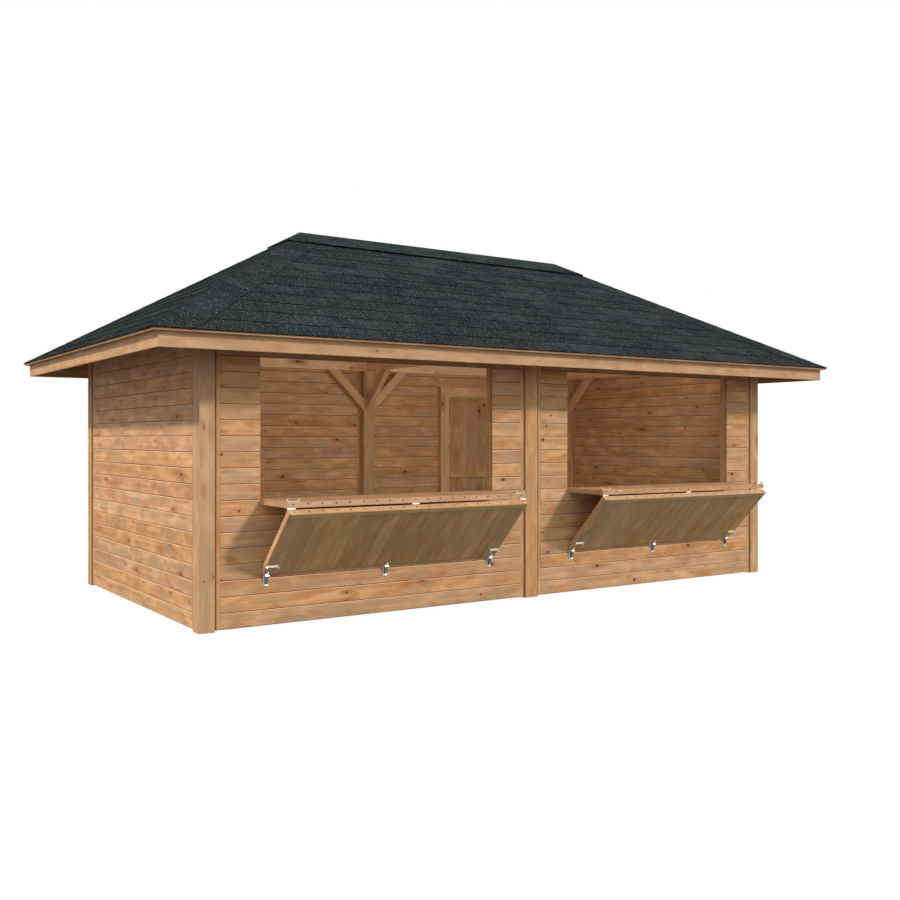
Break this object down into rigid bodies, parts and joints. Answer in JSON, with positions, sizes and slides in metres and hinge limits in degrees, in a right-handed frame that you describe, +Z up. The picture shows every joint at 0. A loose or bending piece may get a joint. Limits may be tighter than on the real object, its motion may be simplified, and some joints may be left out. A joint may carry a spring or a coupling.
{
  "type": "wooden market hut",
  "caption": "Timber market hut with board walls, propped serving counters under wide front openings, a back door and a hipped shingle roof.",
  "frame": {"origin": "centre of the hut's footprint, on the ground", "axes": "+X along the hut to the right of someone facing the counters, +Y from the serving side to the back, +Z up"},
  "size_m": [6.962, 3.962, 3.2697],
  "materials": {
    "wood": "planed softwood, warm brown, unpainted",
    "steel": "bright zinc-plated steel",
    "shingle": "black slate-grained bitumen shingle"
  },
  "bodies": {
    "hut": {"corner_posts": "wood", "middle_posts": "wood", "long_plates": "wood", "end_plates": "wood", "tie_beam": "wood", "back_braces": "wood", "end_braces": "wood", "tie_brace": "wood", "left_wall": "wood", "right_wall": "wood", "back_wall_left": "wood", "back_wall_middle": "wood", "back_wall_right": "wood", "back_wall_over_door": "wood", "front_aprons": "wood", "front_side_boards": "wood", "front_headers": "wood", "opening_studs": "wood", "sill_rails": "wood", "left_counter": "wood", "right_counter": "wood", "left_flap": "wood", "right_flap": "wood", "door_jambs": "wood", "door_head": "wood", "door_stops": "wood", "long_fascias": "wood", "end_fascias": "wood", "long_soffits": "wood", "end_soffits": "wood", "ridge_beam": "wood", "hip_rafters": "wood", "rafters": "wood", "roof_front": "wood", "roof_back": "wood", "roof_left": "wood", "roof_right": "wood", "fold_hinges": "steel", "bar_brackets": "steel", "flap_latches": "steel", "door_pins": "steel", "roof_covering": "shingle", "ridge_cap": "shingle"},
    "door": {"door_leaf": "wood", "door_rails": "wood", "door_straps": "steel", "door_handle": "steel"}
  },
  "joints": [
    {"name": "door_hinge", "type": "hinge", "parent": "hut", "child": "door", "pos_m": [1.0605, 1.50005, 0.9], "axis": [0, 0, 1], "range_deg": [0, 110]}
  ]
}
